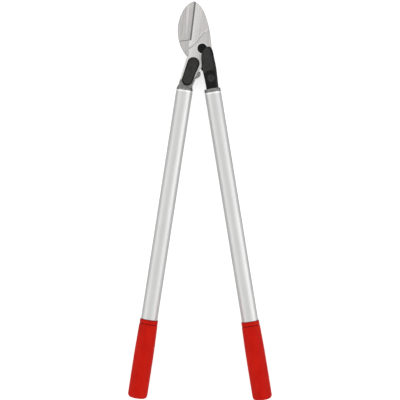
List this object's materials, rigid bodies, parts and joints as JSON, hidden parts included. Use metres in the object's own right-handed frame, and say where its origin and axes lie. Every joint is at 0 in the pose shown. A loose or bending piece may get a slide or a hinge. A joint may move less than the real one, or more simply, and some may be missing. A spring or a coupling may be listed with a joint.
{
  "type": "bypass loppers",
  "caption": "Long two-hand bypass loppers: curved cutting blade passing a hooked counter blade, straight tubular handles with moulded grips, one pivot.",
  "frame": {"origin": "on the pivot axis, at the underside of the pivot bolt's head, which the closed tool lies on together with its two grips", "axes": "+Y from the grips to the blade tips, +Z out of the face that shows the cutting blade, +X to the hook arm's side"},
  "size_m": [0.3032, 0.8419, 0.0414],
  "materials": {
    "blade_steel": "hollow-ground hardened steel with fine lengthwise grinding lines",
    "hook_steel": "ground forged steel",
    "forged_aluminium": "blasted grey forging",
    "tube_aluminium": "satin silver anodised tube",
    "fastener_steel": "zinc-plated steel",
    "bush_bronze": "oiled sintered bronze",
    "cover_black": "fine-textured black polyamide",
    "rubber_black": "soft black rubber",
    "plug_plastic": "plain black plastic",
    "grip_red": "satin red dip-moulded vinyl"
  },
  "bodies": {
    "hook_side": {"counter_blade": "hook_steel", "hook_arm": "forged_aluminium", "hook_screws": "fastener_steel", "hook_nuts": "fastener_steel", "cover_screws": "fastener_steel", "pivot_bolt": "fastener_steel", "pivot_nut": "fastener_steel", "pivot_washer": "fastener_steel", "nut_cap": "cover_black", "hook_arm_cover": "cover_black", "bumper": "rubber_black", "hook_tube": "tube_aluminium", "hook_tube_pin": "fastener_steel", "hook_tube_plug": "plug_plastic", "hook_grip": "grip_red"},
    "blade_side": {"cutting_blade": "blade_steel", "blade_arm": "forged_aluminium", "blade_screws": "fastener_steel", "blade_nuts": "fastener_steel", "capsule_cover": "cover_black", "pivot_bush": "bush_bronze", "blade_tube": "tube_aluminium", "blade_tube_pin": "fastener_steel", "blade_tube_plug": "plug_plastic", "blade_grip": "grip_red"}
  },
  "joints": [
    {"name": "pivot", "type": "hinge", "parent": "hook_side", "child": "blade_side", "pos_m": [0, 0, 0.0207], "axis": [0, 0, -1], "range_deg": [0, 50]}
  ]
}
